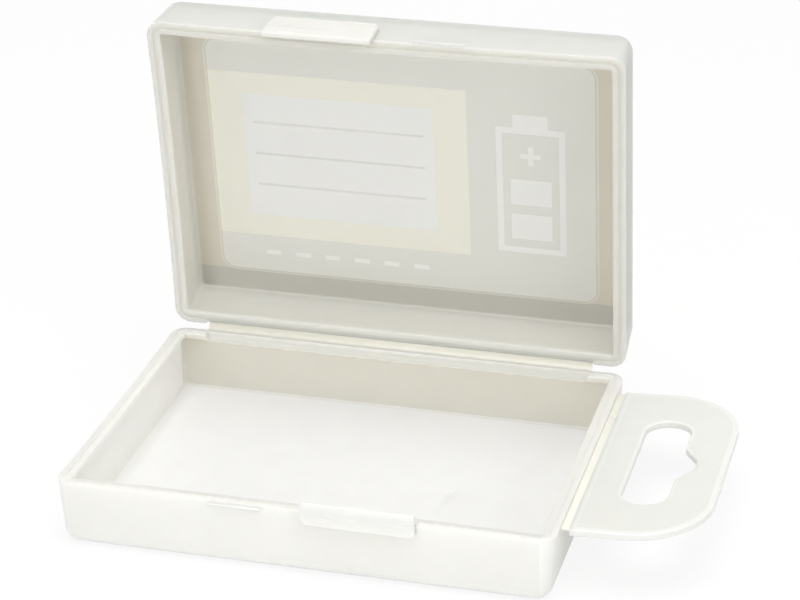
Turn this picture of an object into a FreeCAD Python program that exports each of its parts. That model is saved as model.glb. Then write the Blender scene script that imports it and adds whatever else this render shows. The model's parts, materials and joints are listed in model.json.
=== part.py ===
"""Pocket box for spare camera batteries, in translucent plastic, shown open.

A shallow tray and a lid of the same outline hang together by a moulded web along the back.
Two snap tongues side by side on the front lock behind two small beads. A flat hanging tab
with a retail hanging slot stands off the right-hand side on a web of its own, and a paper
label lies on the outside of the lid.

Millimetres. The origin is the centre of the face that the tray rests on, +X to the right
along the long side, +Y towards the hinge, +Z up. The tray and the lid are each modelled in
the frame of their own rim: the rim plane is z = 0, the hinge side is +Y, the snap front is
-Y and the floor lies below. In those frames both halves carry their snap tongue on the +X
side and their bead on the -X side, so the two halves meet each other.
"""
import FreeCAD, Part
import math
import os
import re
import Sketcher

SIZES = {
    # Both halves.
    "case_length": 90.0,
    "case_width": 65.6,
    "base_depth": 12.7,
    "lid_depth": 12.0,
    "draft_angle": 3.1,
    "corner_radius": 3.0,
    "edge_under_corner": 0.3,
    "floor_thickness": 1.2,
    "panel_thickness": 1.2,
    "wall_inset": 1.85,
    "wall_corner_radius": 1.3,
    "floor_corner_radius": 0.6,
    # The ridge that runs round the inside of both rims.
    "ridge_proud": 0.6,
    "ridge_height": 1.1,
    "ridge_underside": 0.1,
    "ridge_corner_radius": 1.0,
    # The channel in the lid's rim and the tongue on the tray's rim that enters it.
    "channel_inset": 0.8,
    "channel_width": 0.65,
    "channel_depth": 0.6,
    "tongue_clearance": 0.1,
    "tongue_height": 0.5,
    "rim_round": 0.2,
    # The hinge along the back.
    "rim_gap": 0.2,
    "pivot_out": 0.75,
    "pivot_up": 0.4,
    "open_angle": 82.6,
    "hinge_from_side": 6.3,
    "hinge_end_slope": 1.2,
    "hinge_web_thickness": 0.35,
    "notch_land": 0.8,
    "notch_drop": 1.35,
    "notch_slope": 1.2,
    # The snap tongues and the beads on the front.
    "base_clasp_centre": 10.8,
    "lid_clasp_centre": 11.6,
    "clasp_width": 20.4,
    "clasp_proud": 1.25,
    "base_clasp_root": 2.3,
    "lid_clasp_root": 5.0,
    "clasp_reach": 2.4,
    "clasp_back_radius": 0.8,
    "clasp_round": 0.25,
    "clasp_tongue_thickness": 0.75,
    "catch_wall_gap": 0.15,
    "catch_clearance": 0.1,
    "catch_lead": 0.5,
    "bead_length": 10.0,
    "bead_below_rim": 0.25,
    "bead_height": 0.6,
    "bead_proud": 0.42,
    "bead_slope": 0.15,
    # The hanging tab on the right-hand side.
    "tab_drop": 0.5,
    "tab_thickness": 1.35,
    "tab_tilt": 2.6,
    "tab_reach": 22.95,
    "tab_length": 53.2,
    "tab_corner_radius": 13.4,
    "tab_round": 0.25,
    "tab_web_span": 1.46,
    "tab_web_thickness": 0.35,
    "tab_web_margin": 0.6,
    # The hanging slot in the tab.
    "slot_from_root": 6.35,
    "slot_width": 8.35,
    "slot_length": 31.6,
    "slot_notch_depth": 2.7,
    "slot_notch_width": 11.4,
    "slot_notch_tip": 3.4,
    # The label outside the lid's panel.
    "label_length": 75.6,
    "label_width": 51.0,
    "label_corner_radius": 2.8,
    "label_thickness": 0.12,
    "label_to_right": 0.3,
    "label_to_hinge": 0.95,
    # The moulding's gate mark on the tray's floor.
    "gate_diameter": 2.5,
    "gate_depth": 0.15,
    "gate_right": 19.1,
    # What every cut runs past the surface that it starts from.
    "overrun": 1.0,
}

# Places that more than one piece is set out from.
FRONT = "-case_width / 2"
HINGE_END = "case_length / 2 - hinge_from_side"
RIDGE_INSET = "(wall_inset + ridge_proud)"

doc = FreeCAD.newDocument("battery_box")
sheet = doc.addObject("Spreadsheet::Sheet", "sizes")
for row, (alias, number) in enumerate(SIZES.items(), start=1):
    sheet.set(f"A{row}", alias.replace("_", " "))
    sheet.set(f"B{row}", str(number))
    sheet.setAlias(f"B{row}", alias)
doc.recompute()


def named(expression):
    """Point each size's name in an expression at its cell in the sheet."""
    def cell(word):
        return f"sizes.{word.group()}" if word.group() in SIZES else word.group()
    return re.sub(r"[a-z][a-z_]+", cell, expression)


def worth(expression):
    """Work out an expression of named sizes as a number."""
    result = sheet.evalExpression(named(expression))
    return float(getattr(result, "Value", result))


# Two places closer together than this are one place.
TOUCH = worth("tongue_clearance") / 100


def new_body(label):
    body = doc.addObject("PartDesign::Body", label)
    body.Label = label
    return body


def new_sketch(body, name, role, height="0"):
    """A sketch on one of the body's own origin planes, moved along that plane's normal."""
    sketch = body.newObject("Sketcher::SketchObject", f"{body.Name}_{name}")
    plane = next(item for item in body.Origin.OriginFeatures if item.Role == role)
    sketch.AttachmentSupport = [(plane, "")]
    sketch.MapMode = "FlatFace"
    sketch.setExpression("AttachmentOffset.Base.z", named(height))
    return sketch


def pin(sketch, edge, end, across, up):
    """Hold one point of an edge at two named distances from the sketch's origin."""
    for direction, distance in (("DistanceX", across), ("DistanceY", up)):
        if distance is None:
            continue
        index = sketch.addConstraint(
            Sketcher.Constraint(direction, -1, 1, edge, end, worth(distance)))
        sketch.setExpression(f"Constraints[{index}]", named(distance))


def draw_loop(sketch, corners):
    """Draw a closed loop, counter-clockwise.

    A corner is (x, y). Where the edge that leaves it is an arc round a centre, it is
    (x, y, centre_x, centre_y), and the arc turns counter-clockwise as well.
    """
    first = len(sketch.Geometry)
    places = [FreeCAD.Vector(worth(corner[0]), worth(corner[1]), 0) for corner in corners]
    for number, corner in enumerate(corners):
        start = places[number]
        end = places[(number + 1) % len(corners)]
        if len(corner) == 2:
            sketch.addGeometry(Part.LineSegment(start, end), False)
            continue
        centre = FreeCAD.Vector(worth(corner[2]), worth(corner[3]), 0)
        circle = Part.Circle(centre, FreeCAD.Vector(0, 0, 1), (start - centre).Length)
        angles = [math.atan2(place.y - centre.y, place.x - centre.x) for place in (start, end)]
        sketch.addGeometry(Part.ArcOfCircle(circle, *angles), False)
    for number, corner in enumerate(corners):
        edge = first + number
        following = first + (number + 1) % len(corners)
        sketch.addConstraint(Sketcher.Constraint("Coincident", edge, 2, following, 1))
        pin(sketch, edge, 1, corner[0], corner[1])
        if len(corner) == 4:
            chord = places[(number + 1) % len(corners)] - places[number]
            lies_flat = abs(chord.x) >= abs(chord.y)
            pin(sketch, edge, 3, None if lies_flat else corner[2], corner[3] if lies_flat else None)


def rounded_rectangle(length, width, radius, centre_x="0", centre_y="0"):
    """The corners of a rectangle with round corners, for draw_loop."""
    left = f"{centre_x} - ({length}) / 2"
    right = f"{centre_x} + ({length}) / 2"
    front = f"{centre_y} - ({width}) / 2"
    back = f"{centre_y} + ({width}) / 2"
    return [
        (f"{left} + ({radius})", front),
        (f"{right} - ({radius})", front, f"{right} - ({radius})", f"{front} + ({radius})"),
        (right, f"{front} + ({radius})"),
        (right, f"{back} - ({radius})", f"{right} - ({radius})", f"{back} - ({radius})"),
        (f"{right} - ({radius})", back),
        (f"{left} + ({radius})", back, f"{left} + ({radius})", f"{back} - ({radius})"),
        (left, f"{back} - ({radius})"),
        (left, f"{front} + ({radius})", f"{left} + ({radius})", f"{front} + ({radius})"),
    ]


def inset_outline(inset, radius):
    """The halves' outline, drawn in by an inset all round."""
    return rounded_rectangle(
        f"case_length - 2 * ({inset})", f"case_width - 2 * ({inset})", radius)


def extrude(kind, body, sketch, length, downwards=False, both_ways=False, taper=None):
    """Pad or pocket a sketch, and make sure that it changed the body the right way."""
    before = body.Shape.Volume if body.Tip else 0
    feature = body.newObject(f"PartDesign::{kind}", f"{sketch.Name}_{kind.lower()}")
    feature.Profile = sketch
    feature.setExpression("Length", named(length))
    feature.Reversed = downwards if kind == "Pad" else not downwards
    if both_ways:
        feature.SideType = "Symmetric"
    if taper:
        feature.setExpression("TaperAngle", named(taper))
    doc.recompute()
    grown = body.Shape.Volume - before
    if (grown <= 0) if kind == "Pad" else (grown >= 0):
        raise ValueError(f"{feature.Name} changed nothing")


def dress(kind, body, edges, size):
    """Fillet or chamfer the edges of the body's last feature that a test picks."""
    base = body.Tip
    picked = [f"Edge{number}" for number, edge in enumerate(base.Shape.Edges, start=1)
              if edges(edge)]
    if not picked:
        raise ValueError(f"{body.Label}: no edge to {kind.lower()}")
    feature = body.newObject(f"PartDesign::{kind}", f"{base.Name}_{kind.lower()}")
    feature.Base = (base, picked)
    feature.setExpression("Radius" if kind == "Fillet" else "Size", named(size))
    doc.recompute()
    if feature.Shape.isNull() or near(feature.Shape.Volume, base.Shape.Volume):
        raise ValueError(f"{feature.Name} changed nothing")


def near(first, second):
    return abs(first - second) < TOUCH


def at_height(edge, height):
    """Whether an edge lies at one height all along."""
    box = edge.BoundBox
    return near(box.ZMin, height) and near(box.ZMax, height)


def reaches(edge, inset):
    """Whether an edge's outermost place lies this far in from the outline."""
    box = edge.BoundBox
    from_side = worth("case_length / 2") - max(abs(box.XMin), abs(box.XMax))
    from_front = worth("case_width / 2") - max(abs(box.YMin), abs(box.YMax))
    return near(min(from_side, from_front), inset)


def make_shell(label, depth, thickness):
    """The drafted shell of one half, with the ridge round the inside of its rim."""
    body = new_body(label)
    outline = new_sketch(body, "outline", "XY_Plane")
    half_length = "case_length / 2"
    half_width = "case_width / 2"
    draw_loop(outline, [
        (f"-{half_length}", f"-{half_width}"),
        (half_length, f"-{half_width}"),
        (half_length, half_width),
        (f"-{half_length}", half_width),
    ])
    extrude("Pad", body, outline, depth, downwards=True, taper="-draft_angle")
    bottom = -worth(depth)
    dress("Fillet", body, lambda edge: near(edge.BoundBox.ZMin, bottom)
          and near(edge.BoundBox.ZMax, 0), "corner_radius")
    dress("Fillet", body, lambda edge: at_height(edge, bottom), "corner_radius - edge_under_corner")

    mouth = new_sketch(body, "mouth", "XY_Plane")
    draw_loop(mouth, inset_outline(RIDGE_INSET, "ridge_corner_radius"))
    extrude("Pocket", body, mouth, f"{depth} - {thickness}", downwards=True)
    room = new_sketch(body, "room", "XY_Plane", "-ridge_height")
    draw_loop(room, inset_outline("wall_inset", "wall_corner_radius"))
    extrude("Pocket", body, room, f"{depth} - {thickness} - ridge_height", downwards=True)
    under_ridge = -worth("ridge_height")
    dress("Chamfer", body, lambda edge: at_height(edge, under_ridge)
          and reaches(edge, worth("wall_inset")), "ridge_proud - ridge_underside")
    inner_floor = worth(f"{thickness} - {depth}")
    dress("Fillet", body, lambda edge: at_height(edge, inner_floor), "floor_corner_radius")
    return body


def cut_hinge_zone(body, name, top, bottom, depth_from_back, depth, end_slope):
    """Cut the rim away along the hinge, from one distance off the back face to another."""
    zone = new_sketch(body, name, "XZ_Plane", f"-case_width / 2 + ({depth_from_back})")
    half = HINGE_END
    draw_loop(zone, [
        (f"{end_slope} - ({half})", bottom),
        (f"{half} - ({end_slope})", bottom),
        (half, "0"),
        (half, top),
        (f"-({half})", top),
        (f"-({half})", "0"),
    ])
    extrude("Pocket", body, zone, depth)


def make_base_tray():
    body = make_shell("base_tray", "base_depth", "floor_thickness")
    tongue = new_sketch(body, "tongue", "XY_Plane")
    outer = "channel_inset + tongue_clearance"
    inner = "channel_inset + channel_width - tongue_clearance"
    draw_loop(tongue, inset_outline(outer, f"corner_radius - ({outer})"))
    draw_loop(tongue, inset_outline(inner, f"corner_radius - ({inner})"))
    extrude("Pad", body, tongue, "tongue_height")
    cut_hinge_zone(body, "notch", "tongue_height + overrun", "-notch_drop", "notch_land",
                   f"{RIDGE_INSET} - notch_land + overrun", "hinge_end_slope")
    slope = new_sketch(body, "slope", "YZ_Plane")
    foot = "case_width / 2 - notch_land"
    draw_loop(slope, [
        (foot, "-notch_drop"),
        (foot, "notch_slope - notch_drop"),
        (f"{foot} - notch_slope", "-notch_drop"),
    ])
    extrude("Pad", body, slope, f"2 * ({HINGE_END})", both_ways=True)
    ridge = worth(RIDGE_INSET)
    dress("Fillet", body, lambda edge: at_height(edge, 0)
          and (reaches(edge, 0) or reaches(edge, ridge)), "rim_round")
    gate = new_sketch(body, "gate", "XY_Plane", "floor_thickness - base_depth")
    centre = FreeCAD.Vector(worth("gate_right"), 0, 0)
    gate.addGeometry(Part.Circle(centre, FreeCAD.Vector(0, 0, 1), worth("gate_diameter / 2")))
    index = gate.addConstraint(Sketcher.Constraint("Radius", 0, worth("gate_diameter / 2")))
    gate.setExpression(f"Constraints[{index}]", named("gate_diameter / 2"))
    pin(gate, 0, 3, "gate_right", "0")
    extrude("Pocket", body, gate, "gate_depth", downwards=True)
    return body


def make_lid_shell():
    body = make_shell("lid_shell", "lid_depth", "panel_thickness")
    channel = new_sketch(body, "channel", "XY_Plane")
    inner = "channel_inset + channel_width"
    draw_loop(channel, inset_outline("channel_inset", "corner_radius - channel_inset"))
    draw_loop(channel, inset_outline(inner, f"corner_radius - ({inner})"))
    extrude("Pocket", body, channel, "channel_depth", downwards=True)
    cut_hinge_zone(body, "recess", "overrun", "-channel_depth", "-overrun",
                   f"{inner} + overrun", "0")
    dress("Fillet", body, lambda edge: at_height(edge, 0), "rim_round")
    return body


def make_clasp(label, centre, root):
    """A snap tongue on the front of one half, which reaches past its rim."""
    body = new_body(label)
    side = new_sketch(body, "side", "YZ_Plane", centre)
    outside = f"{FRONT} - clasp_proud"
    inside = f"{outside} + clasp_tongue_thickness"
    catch_tip = f"{FRONT} - catch_wall_gap"
    catch_foot = "rim_gap + bead_below_rim + bead_height + catch_clearance"
    round_centre = (f"{outside} + clasp_back_radius", f"-{root} + clasp_back_radius")
    draw_loop(side, [
        (outside, round_centre[1], *round_centre),
        (round_centre[0], f"-{root}"),
        (f"{FRONT} + {root} * tan(draft_angle)", f"-{root}"),
        (FRONT, "0"),
        (inside, "0"),
        (inside, catch_foot),
        (catch_tip, catch_foot),
        (catch_tip, "clasp_reach - catch_lead"),
        (inside, "clasp_reach"),
        (outside, "clasp_reach"),
    ])
    extrude("Pad", body, side, "clasp_width", both_ways=True)
    outer_face = worth(outside)
    dress("Fillet", body, lambda edge: near(edge.BoundBox.YMin, outer_face)
          and near(edge.BoundBox.YMax, outer_face) and edge.BoundBox.ZMax > 0, "clasp_round")
    return body


def make_bead(label, centre):
    """The low bar on the front of one half that the other half's tongue snaps over."""
    body = new_body(label)
    side = new_sketch(body, "side", "YZ_Plane", centre)
    top = "-bead_below_rim"
    foot = f"{top} - bead_height"
    draw_loop(side, [
        (f"{FRONT} - bead_proud", f"{foot} + bead_slope"),
        (f"{FRONT} + (bead_below_rim + bead_height) * tan(draft_angle)", foot),
        (f"{FRONT} + bead_below_rim * tan(draft_angle)", top),
        (f"{FRONT} - bead_proud", f"{top} - bead_slope"),
    ])
    extrude("Pad", body, side, "bead_length", both_ways=True)
    return body


def make_lid_label():
    body = new_body("lid_label")
    sheet_outline = new_sketch(body, "outline", "XY_Plane", "-lid_depth")
    draw_loop(sheet_outline, rounded_rectangle(
        "label_length", "label_width", "label_corner_radius",
        "label_to_right", "label_to_hinge"))
    extrude("Pad", body, sheet_outline, "label_thickness", downwards=True)
    return body


def make_hang_tab():
    """The hanging tab, in the frame of its own web: +X outwards, z = 0 at mid-thickness."""
    body = new_body("hang_tab")
    root = "tab_web_span / 2"
    end = f"{root} + tab_reach"
    half = "tab_length / 2"
    plan = new_sketch(body, "plan", "XY_Plane")
    draw_loop(plan, [
        (root, f"-{half}"),
        (f"{end} - tab_corner_radius", f"-{half}",
         f"{end} - tab_corner_radius", f"-{half} + tab_corner_radius"),
        (end, f"-{half} + tab_corner_radius"),
        (end, f"{half} - tab_corner_radius",
         f"{end} - tab_corner_radius", f"{half} - tab_corner_radius"),
        (f"{end} - tab_corner_radius", half),
        (root, half),
    ])
    near_side = f"{root} + slot_from_root"
    far_side = f"{near_side} + slot_width"
    middle = f"{near_side} + slot_width / 2"
    round_from = "slot_length / 2 - slot_width / 2"
    draw_loop(plan, [
        (near_side, f"-({round_from})", middle, f"-({round_from})"),
        (far_side, f"-({round_from})"),
        (far_side, "-slot_notch_width / 2"),
        (f"{far_side} + slot_notch_depth", "-slot_notch_tip / 2"),
        (f"{far_side} + slot_notch_depth", "slot_notch_tip / 2"),
        (far_side, "slot_notch_width / 2"),
        (far_side, round_from, middle, round_from),
        (near_side, round_from),
    ])
    extrude("Pad", body, plan, "tab_thickness", both_ways=True)
    face = worth("tab_thickness / 2")
    root_line = worth(root)
    dress("Fillet", body, lambda edge: (at_height(edge, face) or at_height(edge, -face))
          and not near(edge.BoundBox.XMax, root_line), "tab_round")
    return body


def make_lid_hinge_web():
    """The thin moulded strip between the tray's back edge and the lid's, lid at rest."""
    body = new_body("lid_hinge_web")
    swing = "180 - open_angle"
    across = "pivot_out"

    def lid_corner(behind_rim):
        """A point of the lid's hinge face, turned from flat open to the rest pose."""
        up = f"(pivot_up - rim_gap - ({behind_rim}))"
        turned_out = f"{across} * cos({swing}) - {up} * sin({swing})"
        turned_up = f"{across} * sin({swing}) + {up} * cos({swing})"
        return (f"case_width / 2 + pivot_out + {turned_out}", f"pivot_up + {turned_up}")

    profile = new_sketch(body, "profile", "YZ_Plane")
    draw_loop(profile, [
        ("case_width / 2", "-hinge_web_thickness"),
        lid_corner("channel_depth + hinge_web_thickness"),
        lid_corner("channel_depth"),
        ("case_width / 2", "0"),
    ])
    extrude("Pad", body, profile, f"2 * ({HINGE_END} - hinge_end_slope)", both_ways=True)
    return body


def make_tab_hinge_web():
    """The thin strip between the tray's right side and the tab, tab at rest."""
    body = new_body("tab_hinge_web")
    half_span = "tab_web_span / 2"
    half_thickness = "tab_web_thickness / 2"

    def tab_corner(up):
        return (f"{half_span} * cos(tab_tilt) - {up} * sin(tab_tilt)",
                f"{half_span} * sin(tab_tilt) + {up} * cos(tab_tilt)")

    profile = new_sketch(body, "profile", "XZ_Plane")
    draw_loop(profile, [
        (f"-{half_span}", f"-{half_thickness}"),
        tab_corner(f"(-{half_thickness})"),
        tab_corner(half_thickness),
        (f"-{half_span}", half_thickness),
    ])
    extrude("Pad", body, profile, "tab_length - 2 * tab_web_margin", both_ways=True)
    return body


def placed(x, y, z, axis=FreeCAD.Vector(0, 0, 1), angle=0):
    return FreeCAD.Placement(FreeCAD.Vector(x, y, z), FreeCAD.Rotation(axis, angle))


X_AXIS = FreeCAD.Vector(1, 0, 0)
Y_AXIS = FreeCAD.Vector(0, 1, 0)
Z_AXIS = FreeCAD.Vector(0, 0, 1)

base_frame = placed(0, 0, worth("base_depth"))
hinge_frame = placed(0, worth("case_width / 2 + pivot_out"), worth("base_depth + pivot_up"),
                     X_AXIS, worth("180 - open_angle"))
lid_frame = hinge_frame * placed(0, worth("case_width / 2 + pivot_out"),
                                 worth("pivot_up - rim_gap"), Z_AXIS, 180)
tab_axis_place = (worth("case_length / 2 + tab_web_span / 2"), 0,
                  worth("base_depth - tab_drop - tab_thickness / 2"))
tab_frame = placed(*tab_axis_place, Y_AXIS, -worth("tab_tilt"))

PIECES = [
    (make_base_tray(), base_frame),
    (make_clasp("base_clasp", "base_clasp_centre", "base_clasp_root"), base_frame),
    (make_bead("base_catch_bead", "-lid_clasp_centre"), base_frame),
    (make_lid_hinge_web(), base_frame),
    (make_tab_hinge_web(), placed(*tab_axis_place)),
    (make_lid_shell(), lid_frame),
    (make_clasp("lid_clasp", "lid_clasp_centre", "lid_clasp_root"), lid_frame),
    (make_bead("lid_catch_bead", "-base_clasp_centre"), lid_frame),
    (make_lid_label(), lid_frame),
    (make_hang_tab(), tab_frame),
]
for body, frame in PIECES:
    body.Placement = frame
doc.recompute()

for item in doc.Objects:
    if "Invalid" in item.State or "Error" in item.State:
        raise ValueError(f"{item.Name} failed")

os.makedirs("parts", exist_ok=True)
for body in [body for body, frame in PIECES]:
    if body.Shape.isNull() or not body.Shape.isValid():
        raise ValueError(f"{body.Label} has no valid shape")
    body.Shape.exportStep(f"parts/{body.Label}.step")
    box = body.Shape.BoundBox
    print(f"{body.Label}: {len(body.Shape.Solids)} solid, {body.Shape.Volume:.1f} mm3,"
          f" x {box.XMin:.2f} to {box.XMax:.2f}, y {box.YMin:.2f} to {box.YMax:.2f},"
          f" z {box.ZMin:.2f} to {box.ZMax:.2f}")
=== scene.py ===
"""Hinged pocket box in milky plastic: its moulded halves, hinge webs, snaps, label and studio.

Each half is modelled mouth up, with its rim at zero height, the hinge side at +Y and the snap
front at -Y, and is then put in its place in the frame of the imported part.
"""

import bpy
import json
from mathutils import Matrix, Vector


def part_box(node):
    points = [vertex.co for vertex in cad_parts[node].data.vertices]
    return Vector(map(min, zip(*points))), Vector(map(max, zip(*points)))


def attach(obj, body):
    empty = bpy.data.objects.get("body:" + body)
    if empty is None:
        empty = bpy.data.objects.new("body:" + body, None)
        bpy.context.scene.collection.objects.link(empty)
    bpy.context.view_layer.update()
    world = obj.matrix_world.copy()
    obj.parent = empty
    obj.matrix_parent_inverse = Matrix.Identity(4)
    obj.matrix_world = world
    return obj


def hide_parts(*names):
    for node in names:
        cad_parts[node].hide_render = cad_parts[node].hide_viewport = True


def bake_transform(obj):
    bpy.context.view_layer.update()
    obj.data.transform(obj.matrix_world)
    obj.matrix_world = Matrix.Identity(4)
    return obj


bl_info = {
    "name": "Hinged pocket box",
    "version": (1, 0, 0),
    "blender": (4, 5, 0),
    "location": "View3D > Sidebar > Pocket box",
    "description": "Models a hinged plastic box with snaps, a label and a hanging tab",
    "category": "Object",
}

import json
import math

import bmesh
import bpy
from bpy.props import FloatProperty, FloatVectorProperty, PointerProperty
from bpy.types import Operator, Panel, PropertyGroup
from mathutils import Matrix, Vector
from mathutils.geometry import interpolate_bezier

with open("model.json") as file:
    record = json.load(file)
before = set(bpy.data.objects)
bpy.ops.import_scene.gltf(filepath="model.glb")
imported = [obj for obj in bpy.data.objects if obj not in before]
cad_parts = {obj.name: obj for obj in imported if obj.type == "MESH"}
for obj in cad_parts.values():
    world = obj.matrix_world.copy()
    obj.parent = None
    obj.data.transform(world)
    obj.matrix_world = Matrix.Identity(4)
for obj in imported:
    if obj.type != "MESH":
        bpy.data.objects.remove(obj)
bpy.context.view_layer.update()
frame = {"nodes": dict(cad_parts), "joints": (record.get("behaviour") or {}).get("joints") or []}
HINGES = {joint["name"]: joint for joint in frame["joints"]}
# Places closer than this are the same, a mask reaches this far past the face that it colours, and
# a cutter this far past what it cuts, all in metres.
HAIR = 0.00001
SKIN = 0.0001
CLEAR = 0.0005
# The camera in metres, degrees and millimetres, fitted to the photo's outlines.
CAMERA_PLACE = (0.12484, -0.41978, 0.24191)
CAMERA_TURN = {"yaw": 15.3162, "pitch": 24.9638, "roll": -0.7263}
CAMERA_LENS = 121.46
SENSOR_WIDTH = 36.0
# Polypropylene: its refraction, the share of light that goes in, and how far each colour gets.
PLASTIC_IOR = 1.49
SOFT_SHARE = 0.85
SOFT_COLOUR = (1.0, 0.96, 0.88)
# How strongly moulding flow, haze, grain and handling streaks show, the level of noise at which
# a streak starts, and how the streaks run.
FLOW_TINT = 0.03
HAZE_ROUGH = 0.12
HAZE_COVER = 0.05
HAZE_FLOOR = 0.1
HAZE_PRINT = 0.12
HAZE_BUMP = 0.3
GRAIN_BUMP = 0.5
SCUFF_ROUGH = 0.06
SCUFF_LEVEL = 0.66
STREAK_TURN = (0.5, 0.3, 0.9)
STREAKS_PER_METRE = (90.0, 900.0, 900.0)
# The label's film: its least roughness, what its fibres add, and its darker blotches.
FILM_ROUGH = 0.42
FIBRE_ROUGH = 0.2
BLOTCH_TINT = 0.1
BLOTCH_SHADE = 0.8
# How strongly each of these tints shows over the plastic or the print around it. Most are painted
# light
# and shade: a painted highlight on the tray's edges and corners and a light line outside the label,
# painted shade in the floor's crease, in the notch and as a dark line along the label's edge, and
# painted light on the lid's rim. The tray's rim gets a warmer tone and the label's back a paler
# one.
SHOWS = {"edges": 0.7, "crease_shade": 0.5, "notch": 0.85, "tray_rim": 0.8, "lid_rim_lit": 0.85,
         "label_shadow_line": 0.6, "edge_highlight": 0.3, "label_back": 0.55}
# Each lamp's place, the height that it points at and its width, in metres.
LAMPS = {"overhead": ((0.05, -0.10, 0.90), 0.0, 0.7),
         "front_fill": ((-0.20, -0.95, 0.16), 0.03, 0.3),
         "side_fill": ((0.60, -0.35, 0.45), 0.03, 0.4)}
# Steps along half of the long and the short rims, and along the webs.
COLUMNS = 5
ROWS = 4
WEB_STEPS = 10
TAB_WEB_STEPS = 6
# How much of its normal a face has along an axis when it faces that way.
FACING = 0.9
# Angles in degrees from which an edge is rounded, on the halves and on the webs.
SHARP_EDGE = 38
SHARP_STRIP = 50
# Steps of each round or slope, by the name of its size.
ROUND_STEPS = {"corner": 8, "under_edge": 7, "floor_round": 4, "rim_round": 2, "notch_slope": 3,
               "lip_round": 4, "catch_lead": 1, "root_corner": 5, "back_round": 5,
               "edge_round": 3, "bead_round": 3}


def length(name, description, default):
    return FloatProperty(name=name, description=description, default=default,
                         unit="LENGTH", precision=5)


def turn(name, description, degrees):
    return FloatProperty(name=name, description=description, default=math.radians(degrees),
                         subtype="ANGLE", unit="ROTATION")


def share(name, description, default):
    return FloatProperty(name=name, description=description, default=default,
                         subtype="FACTOR", min=0.0, max=1.0)


def power(name, description, default):
    return FloatProperty(name=name, description=description, default=default, min=0.0)


def colour(name, description, red, green, blue):
    return FloatVectorProperty(name=name, description=description, default=(red, green, blue, 1.0),
                               subtype="COLOR", size=4, min=0.0, max=1.0)


def area(name, description, left, right, bottom, top):
    return FloatVectorProperty(name=name, description=description, unit="LENGTH", precision=5,
                               default=(left, right, bottom, top), size=4)


class PocketBoxHalves(PropertyGroup):
    """Sizes that the tray and the lid share."""
    long_side: length("Length", "Along the rim, left to right", 0.09)
    short_side: length("Width", "Along the rim, front to back", 0.0656)
    tray_depth: length("Tray depth", "From its rim to its underside", 0.0127)
    lid_depth: length("Lid depth", "From its rim to its outside", 0.012)
    draft: turn("Draft", "Slope of the outer walls", 3.1)
    corner: length("Corner radius", "Upright corners of the outline", 0.003)
    under_edge: length("Lower edge radius", "Between the walls and the outer face", 0.0027)
    floor: length("Floor", "Thickness of floor and panel", 0.0012)
    wall: length("Wall inset", "From the outline to the inner wall", 0.00185)
    ridge: length("Ridge inset", "From the outline to the rim's ridge", 0.00245)
    ridge_height: length("Ridge height", "Height of its upright face", 0.0011)
    floor_round: length("Floor round", "Where the inner walls meet the floor", 0.0006)
    groove_start: length("Groove start", "From the outline to the groove", 0.0009)
    groove_width: length("Groove width", "Width of the groove", 0.0005)
    groove_depth: length("Groove depth", "Depth of the groove", 0.00022)
    tongue_play: length("Tongue play", "Free space beside the tongue", 0.0001)
    tongue_height: length("Tongue height", "Height of the tray's tongue", 0.00025)
    rim_round: length("Rim round", "Round on the rim's small edges", 0.00016)
    front_bow: length("Front bow", "How far the front rims bend in", 0.0004)
    side_bow: length("Side bow", "How far the shut box's left rims bend in", 0.00035)
    gate_radius: length("Gate radius", "Round mark of the mould's gate", 0.00125)
    gate_depth: length("Gate depth", "Depth of its mark in the floor", 0.00015)
    gate_place: length("Gate place", "From the middle to its mark", 0.0191)


class PocketBoxHinge(PropertyGroup):
    """Sizes of the hinge along the back and of the tab's hinge."""
    half_length: length("Half length", "From the middle to the hinge's end", 0.0387)
    end_slope: length("End slope", "How far the notch's ends slope in", 0.0012)
    land: length("Land", "Width of rim left outside the notch", 0.0008)
    notch_drop: length("Notch depth", "Depth of the notch", 0.00135)
    notch_slope: length("Notch slope", "Height and width of its sloping face", 0.0012)
    recess_width: length("Recess width", "From the lid's back to the recess's end", 0.001125)
    recess_depth: length("Recess depth", "Depth of the recess", 0.0006)
    lip_round: length("Lip round", "Round at the lid's lips", 0.0004)
    web: length("Web", "Thickness of the webs", 0.00035)
    web_edge: share("Web edge", "Edge round, as a share of the thickness", 0.2)
    web_pull: share("Web pull", "How stiffly the lid's web leaves its ends", 0.38)
    web_play: length("Web play", "From the web's end to the lip's end", 0.0003)
    ripple: length("Ripple", "Height of a web's creases", 0.00004)
    seat: length("Seat", "How far a web runs into what it hangs on", 0.0003)
    sink: length("Sink", "From the recess's floor to the web", 0.00006)
    lid_gap: length("Lid gap", "Between the rims when shut", 0.0002)
    open_turn: turn("Turned lid", "The lid's turn from flat open", 97.4)
    tab_tilt: turn("Tab tilt", "The tab's slope above level", 2.6)
    tab_half_length: length("Tab web half length", "Half of the tab's web", 0.0262)
    tab_web_rise: length("Tab web rise", "From the tab's middle up to its web", 0.0003)


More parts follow.
